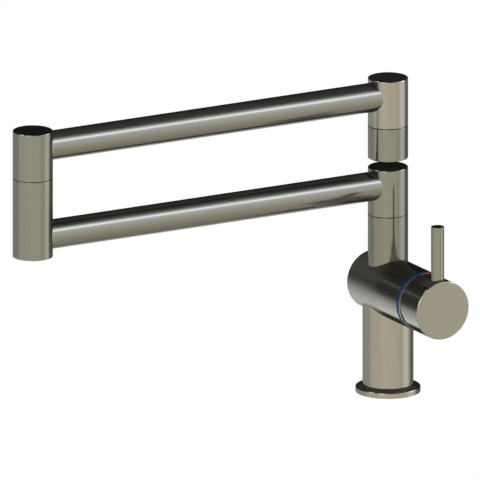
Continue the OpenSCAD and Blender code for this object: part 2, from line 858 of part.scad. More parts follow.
base_flange();
base_seal();
tap_body();
cartridge_base();
port_seals();
fixed_disc();
moving_disc();
disc_carrier();
cartridge_housing();
cartridge_rotor();
stem_pin();
control_stem();
cartridge_nut();
cold_ring_half();
hot_ring_half();
seat_collar();
handle_cap();
lever_pin();
handle_grub_screw();
column_washer();
column_slide_rings();
column_orings();
column_lock_screw();
lower_hub();
lower_arm_tube();
elbow_socket();
elbow_washer();
elbow_slide_rings();
elbow_orings();
elbow_lock_screw();
elbow_head();
upper_arm_tube();
outlet_head();
nozzle_seal();
outlet_nozzle();
aerator_gasket();
aerator_insert();
aerator_housing();
fixing_stud();
clamp_gasket();
clamp_washer();
clamp_nut();
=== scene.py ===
# Single-lever kitchen mixer with a folding spout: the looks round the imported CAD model.
# Lengths in the dictionaries are in mm and are turned to metres where they are used.
import math

import bmesh
import bpy
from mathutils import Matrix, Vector


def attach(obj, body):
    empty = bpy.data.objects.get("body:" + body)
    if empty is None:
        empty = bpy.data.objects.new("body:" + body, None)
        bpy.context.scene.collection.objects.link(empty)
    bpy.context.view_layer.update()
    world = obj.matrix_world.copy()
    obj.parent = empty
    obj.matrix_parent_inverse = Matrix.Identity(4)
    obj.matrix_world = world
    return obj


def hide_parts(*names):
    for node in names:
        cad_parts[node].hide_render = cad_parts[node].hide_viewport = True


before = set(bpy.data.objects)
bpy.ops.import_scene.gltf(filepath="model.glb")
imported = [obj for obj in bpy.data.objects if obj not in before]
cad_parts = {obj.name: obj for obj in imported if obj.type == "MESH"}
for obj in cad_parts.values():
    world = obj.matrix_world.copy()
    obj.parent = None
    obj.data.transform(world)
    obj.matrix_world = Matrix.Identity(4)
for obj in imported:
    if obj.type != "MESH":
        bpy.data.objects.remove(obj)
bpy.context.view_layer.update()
mm = 0.001
print("frame loaded:", len(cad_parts), "CAD nodes")

# Camera first, at the photograph's angle, looking without perspective
cameraView = {
    "azimuth": -29.46,
    "elevation": 15.34,
    "pixelsPerMm": 1.3419,
    "picturePixels": 480,
    "point": (0, 0, 121.9),  # this point of the tap
    "pointPixel": (387.98, 232.69),  # is seen at this pixel
    "distance": 900,
    "clip": (0.01, 10),  # in metres
}


def makeCamera(look):
    turn, rise = math.radians(look["azimuth"]), math.radians(look["elevation"])
    back = Vector((math.sin(turn) * math.cos(rise), -math.cos(turn) * math.cos(rise), math.sin(rise)))
    right = Vector((math.cos(turn), math.sin(turn), 0))
    up = back.cross(right)
    middle = look["picturePixels"] / 2
    aside = (look["pointPixel"][0] - middle) / look["pixelsPerMm"]
    above = (middle - look["pointPixel"][1]) / look["pixelsPerMm"]
    centre = (Vector(look["point"]) - right * aside - up * above) * mm
    bpy.ops.object.camera_add(location=centre + back * look["distance"] * mm)
    camera = bpy.context.object
    camera.rotation_mode = "QUATERNION"
    camera.rotation_quaternion = (-back).to_track_quat("-Z", "Y")
    camera.data.type = "ORTHO"
    camera.data.ortho_scale = look["picturePixels"] / look["pixelsPerMm"] * mm
    camera.data.clip_start, camera.data.clip_end = look["clip"]
    bpy.context.scene.camera = camera


makeCamera(cameraView)
print("camera placed")

# Directions that pieces are turned along, and the turn that lays a flat circle across them
axes = {
    "up": (Vector((0, 0, 1)), (0, 0, 0)),
    "handle": (Vector((0, -1, 0)), (math.pi / 2, 0, 0)),
    "arm": (Vector((-1, 0, 0)), (0, -math.pi / 2, 0)),
    "back": (Vector((0, 1, 0)), (-math.pi / 2, 0, 0)),
}
barrelHeight = 81.5
barrelAxis = (0, 0, barrelHeight)
elbowX = -304
weldDistance = 0.002
rimSegments = 4
rimSlack = {"along": 0.01, "across": 0.02}  # how near an edge lies to the rim that it belongs to
ridgeShape = {"sink": 1.1, "halfFoot": 0.46}  # a thread ridge, in shares of its depth and pitch
smoothing = {"angle": 26, "weight": 80}
holeSides = 64


def place(point):
    return Vector(point) * mm


def selectOnly(*pieces):
    if bpy.context.object and bpy.context.object.mode != "OBJECT":
        bpy.ops.object.mode_set(mode="OBJECT")
    bpy.ops.object.select_all(action="DESELECT")
    for piece in pieces:
        piece.select_set(True)
        bpy.context.view_layer.objects.active = piece


def editMesh(piece):
    selectOnly(piece)
    bpy.ops.object.mode_set(mode="EDIT")


def leaveMesh():
    bpy.ops.object.mode_set(mode="OBJECT")


def closeUp(piece):
    # merges the seam of a ring, fills the ends of a bar and turns every face outwards
    editMesh(piece)
    bpy.ops.mesh.select_all(action="SELECT")
    bpy.ops.mesh.remove_doubles(threshold=weldDistance * mm)
    bpy.ops.mesh.fill_holes(sides=0)
    bpy.ops.mesh.select_all(action="SELECT")
    bpy.ops.mesh.normals_make_consistent(inside=False)
    leaveMesh()


def turnPiece(name, steps, axis="up", foot=(0, 0, 0), sides=160):
    # steps are (radius, distance along the axis); a ring's last step is its first one
    along, turn = axes[axis]
    selectOnly()
    bpy.ops.mesh.primitive_circle_add(
        vertices=sides,
        radius=steps[0][0] * mm,
        location=place(foot) + along * steps[0][1] * mm,
        rotation=turn,
    )
    piece = bpy.context.object
    piece.name = piece.data.name = name
    bpy.ops.object.transform_apply(location=True, rotation=True, scale=True)
    editMesh(piece)
    bpy.ops.mesh.select_all(action="SELECT")
    for before, after in zip(steps, steps[1:]):
        shift = along * (after[1] - before[1]) * mm
        bpy.ops.mesh.extrude_region_move(TRANSFORM_OT_translate={"value": shift})
        if after[0] != before[0]:
            grow = after[0] / before[0]
            middle = place(foot) + along * after[1] * mm
            bpy.ops.transform.resize(value=(grow, grow, grow), center_override=middle)
    leaveMesh()
    closeUp(piece)
    return piece


def ringSteps(look):
    inner, outer, start, end = (look[key] for key in ("inner", "outer", "start", "end"))
    return [(inner, start), (outer, start), (outer, end), (inner, end), (inner, start)]


def pickEdges(test):
    # the piece is in edit mode; test is given the two ends of each edge, in metres
    mesh = bpy.context.object.data
    bpy.ops.mesh.select_mode(type="EDGE")
    bpy.ops.mesh.select_all(action="DESELECT")
    shape = bmesh.from_edit_mesh(mesh)
    for edge in shape.edges:
        if test(*[corner.co for corner in edge.verts]):
            edge.select_set(True)
    bmesh.update_edit_mesh(mesh)


def roundRims(piece, rims, axis="up", foot=(0, 0, 0)):
    # rims are (radius, distance along the axis, rounding)
    along = axes[axis][0]

    def onRim(point, radius, far):
        out = point - place(foot)
        reach = out.dot(along)
        across = (out - along * reach).length
        return abs(reach - far * mm) < rimSlack["along"] * mm and abs(across - radius * mm) < rimSlack["across"] * mm

    editMesh(piece)
    for radius, far, rounding in rims:
        pickEdges(lambda a, b: onRim(a, radius, far) and onRim(b, radius, far))
        bpy.ops.mesh.bevel(offset=rounding * mm, segments=rimSegments, profile=0.5, affect="EDGES")
    leaveMesh()


def addModifier(piece, kind, **settings):
    selectOnly(piece)
    bpy.ops.object.modifier_add(type=kind)
    modifier = piece.modifiers[-1]
    for key, value in settings.items():
        setattr(modifier, key, value)
    bpy.ops.object.modifier_apply(modifier=modifier.name)


def combine(piece, tool, way):
    addModifier(piece, "BOOLEAN", operation=way, object=tool, solver="EXACT")
    bpy.data.objects.remove(tool)


def cutAway(piece, *tools):
    for tool in tools:
        combine(piece, tool, "DIFFERENCE")


def join(piece, *others):
    selectOnly(*others, piece)
    bpy.ops.object.join()


def bar(radius, start, end, axis="up", foot=(0, 0, 0), sides=96):
    return turnPiece("cutter", [(radius, start), (radius, end)], axis, foot, sides)


def block(centre, size, turn=(0, 0, 0)):
    selectOnly()
    bpy.ops.mesh.primitive_cube_add(size=1, location=place(centre), rotation=turn, scale=place(size))
    bpy.ops.object.transform_apply(location=True, rotation=True, scale=True)
    return bpy.context.object


def threadRidge(radius, depth, pitch, length, axis="up", foot=(0, 0, 0), start=0, inward=False, steps=28):
    # a three-sided ridge wound round the axis, its root sunk a little into what carries it
    selectOnly()
    bpy.ops.mesh.primitive_circle_add(vertices=3, radius=1 * mm, rotation=(math.pi / 2, 0, 0))
    ridge = bpy.context.object
    ridge.name = ridge.data.name = "ridge"
    bpy.ops.object.transform_apply(rotation=True)
    root = radius - (-1 if inward else 1) * depth * ridgeShape["sink"]
    half = pitch * ridgeShape["halfFoot"]
    for corner, (out, high) in zip(ridge.data.vertices, [(radius, 0), (root, half), (root, -half)]):
        corner.co = Vector((out * mm, 0, high * mm))
    turns = max(1, int((length - pitch) / pitch))
    addModifier(
        ridge, "SCREW", axis="Z", angle=math.tau, screw_offset=pitch * mm, iterations=turns,
        steps=steps, render_steps=steps, use_merge_vertices=False,
    )
    closeUp(ridge)
    along, turn = axes[axis]
    ridge.location = place(foot) + along * (start + pitch / 2) * mm
    ridge.rotation_euler = turn
    selectOnly(ridge)
    bpy.ops.object.transform_apply(location=True, rotation=True, scale=True)
    return ridge


def finishPiece(piece, name, body, slot, node, *materials):
    selectOnly(piece)
    bpy.ops.object.shade_smooth_by_angle(angle=math.radians(smoothing["angle"]))
    # long faces stay true up to their rounded rims
    addModifier(piece, "WEIGHTED_NORMAL", keep_sharp=True, weight=smoothing["weight"])
    piece.name = piece.data.name = name
    piece.data.materials.clear()
    for material in materials:
        piece.data.materials.append(material)
    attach(piece, body)
    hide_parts(node)


# Nodes that the finishes and the studio are built from
def addNode(tree, kind, inputs=None, **settings):
    node = tree.nodes.new(kind)
    for key, value in settings.items():
        setattr(node, key, value)
    for key, value in (inputs or {}).items():
        if isinstance(value, bpy.types.NodeSocket):
            tree.links.new(value, node.inputs[key])
        else:
            node.inputs[key].default_value = value
    return node


def maths(tree, operation, *values, **settings):
    return addNode(tree, "ShaderNodeMath", dict(enumerate(values)), operation=operation, **settings).outputs[0]


def vectorMaths(tree, operation, first, second, output="Vector"):
    node = addNode(tree, "ShaderNodeVectorMath", {0: first, 1: second}, operation=operation)
    return node.outputs[output]


def remap(tree, value, low, high, start=0.0, end=1.0):
    # turns the stretch from low to high into the stretch from start to end, and holds at both ends
    inputs = {"Value": value, "From Min": low, "From Max": high, "To Min": start, "To Max": end}
    return addNode(tree, "ShaderNodeMapRange", inputs).outputs[0]


def noise(tree, vector, scale, detail, roughness=0.5, distortion=0.0):
    inputs = {"Vector": vector, "Scale": scale, "Detail": detail, "Roughness": roughness, "Distortion": distortion}
    return addNode(tree, "ShaderNodeTexNoise", inputs).outputs["Fac"]


def cells(tree, vector, scale, **settings):
    return addNode(tree, "ShaderNodeTexVoronoi", {"Vector": vector, "Scale": scale}, **settings).outputs["Distance"]


def ownPlace(tree):
    return addNode(tree, "ShaderNodeTexCoord").outputs["Object"]


def laidOut(tree, vector, turn, scale):
    return addNode(tree, "ShaderNodeMapping", {"Vector": vector, "Rotation": turn, "Scale": scale}).outputs[0]


def mixColours(tree, factor, first, second):
    node = addNode(tree, "ShaderNodeMix", data_type="RGBA")
    for socket, value in zip((node.inputs["Factor"], node.inputs[6], node.inputs[7]), (factor, first, second)):
        if isinstance(value, bpy.types.NodeSocket):
            tree.links.new(value, socket)
        else:
            socket.default_value = value
    return node.outputs[2]


# Shader groups that several finishes share
def newGroup(name, inputs, outputs):
    group = bpy.data.node_groups.new(name, "ShaderNodeTree")
    for label, kind, value in inputs:
        socket = group.interface.new_socket(name=label, in_out="INPUT", socket_type=kind)
        socket.default_value = value
    for label in outputs:
        group.interface.new_socket(name=label, in_out="OUTPUT", socket_type="NodeSocketFloat")
    given, out = group.nodes.new("NodeGroupInput"), group.nodes.new("NodeGroupOutput")
    return group, given.outputs, out.inputs


def makeGrain():
    # brushed lines: noise on the piece's own coordinates, drawn out along one of them
    group, given, out = newGroup(
        "brushedGrain",
        [
            ("Stretch", "NodeSocketVector", (1, 1, 0.02)),
            ("Fineness", "NodeSocketFloat", 900),
            ("Broad", "NodeSocketFloat", 160),
        ],
        ["Tone", "Gloss", "Height"],
    )
    fineShare, broadShare, darkest, lightest = 0.45, 0.55, 0.32, 0.68
    drawn = vectorMaths(group, "MULTIPLY", ownPlace(group), given["Stretch"])
    fine = noise(group, drawn, given["Fineness"], detail=3.0, roughness=0.6)
    broad = noise(group, drawn, given["Broad"], detail=2.0)
    both = maths(group, "MULTIPLY_ADD", broad, broadShare, maths(group, "MULTIPLY", fine, fineShare))
    group.links.new(remap(group, both, darkest, lightest), out["Tone"])
    group.links.new(broad, out["Gloss"])
    group.links.new(fine, out["Height"])
    return group


def makeWornAndGlintEdges():
    # a mask along the edges, broken up in patches: partly where hands and cloths have polished them, partly a painted
    # rim highlight
    group, given, out = newGroup(
        "wornAndGlintEdges",
        [("Width", "NodeSocketFloat", 0.0004), ("Broken", "NodeSocketFloat", 0.15)],
        ["Edge"],
    )
    flat, sharp = 0.995, 0.86  # how far the rounded and the plain normal agree off and on an edge
    patchScale, patchLow, patchHigh = 240.0, 0.35, 0.65
    rounded = addNode(group, "ShaderNodeBevel", {"Radius": given["Width"]}, samples=8).outputs[0]
    plain = addNode(group, "ShaderNodeNewGeometry").outputs["Normal"]
    same = vectorMaths(group, "DOT_PRODUCT", rounded, plain, "Value")
    patches = noise(group, ownPlace(group), patchScale, detail=3.0)
    least = maths(group, "SUBTRACT", 1.0, given["Broken"])
    kept = remap(group, patches, patchLow, patchHigh, least)
    mask = maths(group, "MULTIPLY", remap(group, same, flat, sharp), kept, use_clamp=True)
    group.links.new(mask, out["Edge"])
    return group


def makeHandling():
    # faint wipe marks and water spots that only change the gloss
    group, given, out = newGroup(
        "handlingMarks",
        [("Smears", "NodeSocketFloat", 22), ("Spots", "NodeSocketFloat", 260)],
        ["Smear", "Spot"],
    )
    smearTurn, smearScale = (0.5, 0.3, 0.7), (1, 0.35, 1)
    faintest, fullest = 0.42, 0.7
    spotRim, spotHeart = 0.14, 0.06
    spot = ownPlace(group)
    wiped = laidOut(group, spot, smearTurn, smearScale)
    smears = noise(group, wiped, given["Smears"], detail=4.0, distortion=0.8)
    group.links.new(remap(group, smears, faintest, fullest), out["Smear"])
    group.links.new(remap(group, cells(group, spot, given["Spots"]), spotRim, spotHeart), out["Spot"])
    return group


def makeHairlines():
    # a few hair scratches in two crossing directions
    group, given, out = newGroup("hairScratches", [("Scale", "NodeSocketFloat", 60)], ["Scratch"])
    turns, drawnOut = ((0.4, 0.9, 0.2), (1.3, 0.2, 0.8)), (1, 1, 0.03)
    thinFrom, thinTo = 0.68, 0.74
    spot = ownPlace(group)
    found = []
    for turn in turns:
        lines = noise(group, laidOut(group, spot, turn, drawnOut), given["Scale"], detail=6.0, roughness=0.8)
        found.append(remap(group, lines, thinFrom, thinTo))
    group.links.new(maths(group, "MAXIMUM", *found), out["Scratch"])
    return group


def makeMouldGrain():
    # the fine pebbled skin of moulded rubber and plastic
    group, given, out = newGroup(
        "mouldedSkin",
        [("Scale", "NodeSocketFloat", 2200), ("Mottle", "NodeSocketFloat", 90)],
        ["Tone", "Height"],
    )
    spot = ownPlace(group)
    group.links.new(noise(group, spot, given["Mottle"], detail=5.0), out["Tone"])
    group.links.new(cells(group, spot, given["Scale"], feature="SMOOTH_F1"), out["Height"])
    return group


grain = makeGrain()
wornAndGlintEdges = makeWornAndGlintEdges()
handling = makeHandling()
hairlines = makeHairlines()
mouldGrain = makeMouldGrain()


def shade(colour, factor=1):
    return tuple(min(1, part * factor) for part in colour) + (1,)


def startMaterial(name):
    material = bpy.data.materials.new(name)
    material.use_nodes = True
    tree = material.node_tree
    shader = tree.nodes["Principled BSDF"]
    return material, tree, shader


def useGroup(tree, group, **inputs):
    return addNode(tree, "ShaderNodeGroup", inputs, node_tree=group).outputs


def addBump(tree, shader, look, height):
    inputs = {"Strength": look["bump"], "Distance": look["bumpDepth"], "Height": height}
    tree.links.new(addNode(tree, "ShaderNodeBump", inputs).outputs[0], shader.inputs["Normal"])


def satinStretch(tree, start, end, more):
    # a stretch along the handle's axis over which the metal turns less polished
    along = addNode(tree, "ShaderNodeSeparateXYZ", {0: ownPlace(tree)}).outputs["Y"]
    return remap(tree, along, start * mm, end * mm, end=more)


def metalFinish(name, look):
    material, tree, shader = startMaterial(name)
    lines = useGroup(tree, grain, Stretch=look["stretch"], Fineness=look["fineness"], Broad=look["broad"])
    marks = useGroup(tree, handling)
    edges = useGroup(tree, wornAndGlintEdges, Width=look["edgeWidth"])
    hairs = useGroup(tree, hairlines)
    colour, spread = look["colour"], look["toneSpread"]
    brushed = mixColours(tree, lines["Tone"], shade(colour, 1 - spread), shade(colour, 1 + spread))
    scratched = mixColours(tree, hairs["Scratch"], brushed, shade(colour, look["scratchShade"]))
    # edges mix to a lighter colour: partly polished wear, partly a painted rim highlight
    edgeWearAndGlint = mixColours(tree, edges["Edge"], scratched, shade(look["edgeColour"]))
    # painted reflection: one metal part seen in another is given a dull, dark base colour
    mirrored = addNode(tree, "ShaderNodeLightPath").outputs["Is Glossy Ray"]
    tree.links.new(mixColours(tree, mirrored, edgeWearAndGlint, shade(look["mirroredColour"])), shader.inputs["Base Color"])
    rough = remap(tree, lines["Gloss"], *look["glossRange"], *look["roughness"])
    rough = maths(tree, "MULTIPLY_ADD", marks["Smear"], look["smear"], rough)
    rough = maths(tree, "MULTIPLY_ADD", marks["Spot"], look["spot"], rough)
    if "satin" in look:
        rough = maths(tree, "ADD", rough, satinStretch(tree, *look["satin"]))
    tree.links.new(maths(tree, "MAXIMUM", rough, mirrored), shader.inputs["Roughness"])
    addBump(tree, shader, look, lines["Height"])
    shader.inputs["Metallic"].default_value = 1
    return material


def mouldedFinish(name, look):
    material, tree, shader = startMaterial(name)
    skin = useGroup(tree, mouldGrain, Scale=look["grainScale"], Mottle=look["mottle"])
    marks = useGroup(tree, handling)
    edges = useGroup(tree, wornAndGlintEdges, Width=look["edgeWidth"])
    colour, spread = look["colour"], look["toneSpread"]
    mottled = mixColours(tree, skin["Tone"], shade(colour, 1 - spread), shade(colour, 1 + spread))
    # edges mix to a lighter colour: partly wear, partly a painted rim highlight
    edgeWearAndGlint = mixColours(tree, edges["Edge"], mottled, shade(look["edgeColour"]))
    tree.links.new(edgeWearAndGlint, shader.inputs["Base Color"])
    tree.links.new(remap(tree, marks["Smear"], 0.0, 1.0, *look["roughness"]), shader.inputs["Roughness"])
    addBump(tree, shader, look, skin["Height"])
    shader.inputs["Specular IOR Level"].default_value = look["shine"]
    return material


alongUp, alongArm, alongHandle = (1, 1, 0.02), (0.02, 1, 1), (1, 0.02, 1)
nickelLook = {
    "colour": (0.60, 0.582, 0.503),
    # lighter edge colour: partly polished wear, partly a painted rim highlight
    "edgeColour": (0.80, 0.78, 0.71),
    "edgeWidth": 0.0004,
    "stretch": alongUp,
    "fineness": 1400.0,
    "broad": 260.0,
    "toneSpread": 0.048,
    "scratchShade": 1.06,
    "glossRange": (0.3, 0.7),
    "roughness": (0.12, 0.19),
    "smear": 0.03,
    "spot": 0.008,
    "bump": 0.18,
    "bumpDepth": 0.00002,
    # painted reflection: the dark base colour this metal gets where it is seen in another part
    "mirroredColour": (0.13, 0.128, 0.12),
}


def nickel(name, **changes):
    return metalFinish(name, {**nickelLook, **changes})


# a lighter painted reflection colour, for the polished pieces
lightPaintedReflection = (0.6, 0.59, 0.56)
polished = {
    "colour": (0.53, 0.52, 0.47), "stretch": alongHandle, "roughness": (0.09, 0.14), "mirroredColour": lightPaintedReflection,
}
bodyNickel = nickel("nickelBody", roughness=(0.2, 0.27), bump=0.1, edgeColour=(0.68, 0.66, 0.58))
headNickel = nickel("nickelOutletHead", colour=(0.61, 0.594, 0.522), roughness=(0.2, 0.27))
hubNickel = nickel("nickelHub", colour=(0.432, 0.4415, 0.39), mirroredColour=(0.25, 0.246, 0.23))
columnNickel = nickel("nickelColumn", colour=(0.41, 0.413, 0.353))
barrelNickel = nickel("nickelBarrel", **polished, satin=(-27, -17, 0.2))
capNickel = nickel("nickelCap", **polished)
capFaceNickel = nickel(
    "nickelCapFace", colour=(0.63, 0.63, 0.555), bump=0.05, toneSpread=0.014, smear=0.01, mirroredColour=lightPaintedReflection
)
armNickel = nickel("nickelArm", colour=(0.503, 0.499, 0.442), stretch=alongArm, roughness=(0.13, 0.19), bump=0.1)
insideNickel = nickel("nickelInside", colour=(0.36, 0.345, 0.30), roughness=(0.3, 0.4), bump=0.3)
chrome = nickel(
    "brightChrome", colour=(0.74, 0.74, 0.73), edgeColour=(0.82, 0.82, 0.81), toneSpread=0.04,
    roughness=(0.05, 0.09), bump=0.04,
)
collarSteel = nickel(
    "collarSteel", colour=(0.60, 0.575, 0.49), toneSpread=0.06, roughness=(0.3, 0.4), stretch=alongHandle
)
plainSteel = nickel(
    "plainSteel", colour=(0.55, 0.55, 0.56), edgeColour=(0.66, 0.66, 0.67), toneSpread=0.12,
    roughness=(0.24, 0.36), bump=0.3, smear=0.08, spot=0.1,
)
brass = nickel(
    "turnedBrass", colour=(0.72, 0.53, 0.25), edgeColour=(0.82, 0.66, 0.36), toneSpread=0.1,
    roughness=(0.2, 0.32), bump=0.3, stretch=alongHandle,
)
mouldedLook = {
    "colour": (0.8, 0.8, 0.78),
    "edgeColour": (0.86, 0.86, 0.84),
    "edgeWidth": 0.0002,
    "grainScale": 2200.0,
    "mottle": 90.0,
    "toneSpread": 0.06,
    "roughness": (0.35, 0.5),
    "bump": 0.3,
    "bumpDepth": 0.00003,
    "shine": 0.4,
}


def moulded(name, **changes):
    return mouldedFinish(name, {**mouldedLook, **changes})


rubber = moulded(
    "blackRubber", colour=(0.018, 0.018, 0.018), edgeColour=(0.05, 0.05, 0.05), toneSpread=0.3,
    roughness=(0.55, 0.75), bump=0.6, shine=0.3,
)
ceramic = moulded(
    "polishedCeramic", colour=(0.80, 0.78, 0.72), edgeColour=(0.86, 0.85, 0.8), toneSpread=0.04,
    roughness=(0.12, 0.22), bump=0.08, mottle=400.0,
)
whitePlastic = moulded("whitePlastic", colour=(0.74, 0.74, 0.71))
greyPlastic = moulded("greyPlastic", colour=(0.27, 0.28, 0.31), edgeColour=(0.4, 0.41, 0.44))
glossy = {"roughness": (0.25, 0.35), "bump": 0.12}
bluePlastic = moulded("bluePlastic", colour=(0.010, 0.062, 0.22), edgeColour=(0.03, 0.12, 0.32), **glossy)
redPlastic = moulded("redPlastic", colour=(0.42, 0.012, 0.028), edgeColour=(0.5, 0.05, 0.06), **glossy)
print("materials made")

# Flange: upright edge, sloping top, and the groove that holds its seal
flange = {
    "steps": [
        (17, 0), (19.525, 0), (19.525, 1.4), (22.87, 1.4), (22.87, 0), (24.3, 0), (24.3, 3.9),
        (19.03, 6.3), (19.03, 2.5), (17, 2.5), (17, 0),
    ],
    "rims": [(24.3, 0, 0.2), (24.3, 3.9, 0.38), (19.03, 6.3, 0.12)],
}
baseFlange = turnPiece("baseFlange", flange["steps"], sides=192)
roundRims(baseFlange, flange["rims"])
finishPiece(baseFlange, "baseFlange", "base", "brushed_nickel", "base_flange", bodyNickel)

# Body: lower body, barrel and column in one casting, with its hose space, inlets and chamber.
# Holes are (radius, start, end) along their axis.
bodyCasting = {
    "lower": [(19, 2.5), (19, barrelHeight)],
    "barrel": [(22.4, -22.6), (22.4, 52.4)],
    "barrelRims": [(22.4, -22.6, 0.4), (22.4, 52.4, 0.2)],
    "column": [(15, barrelHeight), (15, 136.9)],
    "columnRims": [(15, 136.9, 0.2)],
    "hoseSpace": (16.5, 1, 35),
    "inlet": (5, 34, 45),
    "inletPlaces": [(-7.5, -4), (7.5, -4)],
    "inletThread": {"radius": 4.45, "depth": 0.6, "pitch": 1, "length": 9.5},
    "studHole": (4, 34, 47),
    "studPlace": (0, 11, 0),
    "chamber": (17.7, 14, 60),
    "nutBore": (19.7, 40.65, 60),
    "jointBore": (11, 105.3, 140),
    "lockHole": (2, 0, 16),
    "lockPlace": (0, 0, 116.63),
}
# where paintBody changes from one finish to the next
bodyPaint = {
    "barrelRadius": 22.4, "barrelSlack": 0.35, "barrelFront": -52, "barrelRear": 22,
    "columnRadius": 15, "columnFrom": 95, "bodyRadius": 19, "slack": 0.3, "insideBelow": 130,
}


def makeBody(look):
    casting = turnPiece("tapBody", look["lower"], sides=192)
    barrel = turnPiece("barrel", look["barrel"], "handle", barrelAxis, 224)
    roundRims(barrel, look["barrelRims"], "handle", barrelAxis)
    column = turnPiece("column", look["column"], sides=192)
    roundRims(column, look["columnRims"])
    combine(casting, barrel, "UNION")
    combine(casting, column, "UNION")
    cutAway(casting, bar(*look["hoseSpace"]))
    for x, y in look["inletPlaces"]:
        cutAway(casting, bar(*look["inlet"], foot=(x, y, 0), sides=holeSides))
    cutAway(
        casting,
        bar(*look["studHole"], foot=look["studPlace"], sides=holeSides),
        bar(*look["chamber"], "handle", barrelAxis),
        bar(*look["nutBore"], "handle", barrelAxis),
        bar(*look["jointBore"]),
        bar(*look["lockHole"], "back", look["lockPlace"], 48),
    )
    for x, y in look["inletPlaces"]:
        join(casting, threadRidge(**look["inletThread"], foot=(x, y, look["hoseSpace"][2]), inward=True))
    return casting


def paintBody(casting, look):
    # the barrel, the column and the insides each have their own direction of brushing
    for face in casting.data.polygons:
        middle = face.center / mm
        acrossBarrel = math.hypot(middle.x, middle.z - barrelHeight)
        acrossBody = math.hypot(middle.x, middle.y)
        onBarrel = abs(acrossBarrel - look["barrelRadius"]) < look["barrelSlack"]
        if onBarrel or middle.y < look["barrelFront"] or middle.y > look["barrelRear"]:
            face.material_index = 1
        elif abs(acrossBody - look["columnRadius"]) < look["slack"] and middle.z > look["columnFrom"]:
            face.material_index = 2
        elif abs(acrossBody - look["bodyRadius"]) > look["slack"] and middle.z < look["insideBelow"]:
            face.material_index = 3


tapBody = makeBody(bodyCasting)
finishPiece(
    tapBody, "tapBody", "base", "brushed_nickel", "tap_body", bodyNickel, barrelNickel, columnNickel, insideNickel
)
paintBody(tapBody, bodyPaint)
print("flange and body made")

# Indicator ring in two halves, and the thin collar in front of it
indicator = {"inner": 17.03, "outer": 22.6, "start": 52.4, "end": 54.3, "rim": 0.15, "gap": 0.03}


def makeRingHalf(look, side):
    ring = turnPiece("ringHalf", ringSteps(look), "handle", barrelAxis, 192)
    rims = [(look["outer"], look[end], look["rim"]) for end in ("start", "end")]
    roundRims(ring, rims, "handle", barrelAxis)
    editMesh(ring)
    bpy.ops.mesh.select_all(action="SELECT")
    bpy.ops.mesh.bisect(
        plane_co=(side * look["gap"] * mm, 0, 0), plane_no=(side, 0, 0),
        use_fill=True, clear_inner=True, clear_outer=False,
    )
    leaveMesh()
    closeUp(ring)
    return ring


coldRing = makeRingHalf(indicator, -1)
finishPiece(coldRing, "coldRingHalf", "base", "blue_plastic", "cold_ring_half", bluePlastic)
hotRing = makeRingHalf(indicator, 1)
finishPiece(hotRing, "hotRingHalf", "base", "red_plastic", "hot_ring_half", redPlastic)

collar = {"inner": 17.03, "outer": 22.1, "start": 54.3, "end": 56.5, "rims": [(22.1, 54.3, 0.15), (22.1, 56.5, 0.2)]}
seatCollar = turnPiece("seatCollar", ringSteps(collar), "handle", barrelAxis, 192)
roundRims(seatCollar, collar["rims"], "handle", barrelAxis)
finishPiece(seatCollar, "seatCollar", "base", "bright_chrome", "seat_collar", collarSteel)
print("indicator ring and collar made")

# Handle: cap with its relief, hollow and sockets, and the lever
cap = {
    "radius": 22.3, "hollow": 19.0, "rear": 57.6, "floor": 68.5, "front": 83.3, "rearRim": 0.2, "frontRim": 0.8,
    "leverAt": 75.2, "socket": (4.93, 98.77, 120), "threadHole": (3.03, 90.77, 120),
    "screwHole": (2.5, 50, barrelHeight), "relief": 22, "reliefSpare": 2, "stem": (7.86, 79.33),
    "facing": 0.9, "faceDepth": 0.3, "skin": 0.6,
}
leverFoot = (0, -cap["leverAt"], 0)


def makeCap(look):
    radius, rear, front = look["radius"], look["rear"], look["front"]
    steps = [(look["hollow"], look["floor"]), (look["hollow"], rear), (radius, rear), (radius, front)]
    shell = turnPiece("handleCap", steps, "handle", barrelAxis, 224)
    roundRims(shell, [(radius, rear, look["rearRim"]), (radius, front, look["frontRim"])], "handle", barrelAxis)
    stemWide, stemEnd = look["stem"]
    size = radius * 2
    turn = math.radians(look["relief"])
    # the relief's corner is on the axis at the cap's rear, and its front face leans forwards by the relief angle
    lean = Vector((0, -math.sin(turn), -math.cos(turn)))
    rearwards = Vector((0, math.cos(turn), -math.sin(turn)))
    corner = Vector((0, -rear, barrelHeight))
    middle = corner + lean * size / 2 + rearwards * size / 2
    cutAway(
        shell,
        block(middle, (size + look["reliefSpare"], size, size), (-turn, 0, 0)),
        block((0, -(rear + stemEnd) / 2, barrelHeight), (stemWide, stemEnd - rear, stemWide)),
        bar(*look["socket"], foot=leverFoot, sides=holeSides),
        bar(*look["threadHole"], foot=leverFoot, sides=holeSides),
        bar(*look["screwHole"], foot=leverFoot, sides=holeSides),
    )
    return shell


def paintCap(shell, look):
    for face in shell.data.polygons:
        middle = face.center / mm
        if face.normal.y < -look["facing"] and -middle.y > look["front"] - look["faceDepth"]:
            face.material_index = 1
        elif math.hypot(middle.x, middle.z - barrelHeight) < look["radius"] - look["skin"]:
            face.material_index = 2


handleCap = makeCap(cap)
finishPiece(handleCap, "handleCap", "handle", "brushed_nickel", "handle_cap", capNickel, capFaceNickel, insideNickel)
paintCap(handleCap, cap)

lever = {
    "steps": [(2.55, 91.8), (2.55, 98.8), (4.9, 98.8), (4.9, 144.6)],
    "rims": [(4.9, 98.8, 0.2), (4.9, 144.6, 0.25)],
    "thread": {"radius": 2.98, "depth": 0.45, "pitch": 1, "length": 7, "start": 91.8},
}
leverPin = turnPiece("leverPin", lever["steps"], foot=leverFoot, sides=96)
roundRims(leverPin, lever["rims"], foot=leverFoot)
join(leverPin, threadRidge(**lever["thread"], foot=leverFoot))
finishPiece(leverPin, "leverPin", "handle", "brushed_nickel", "lever_pin", hubNickel)
print("handle made")

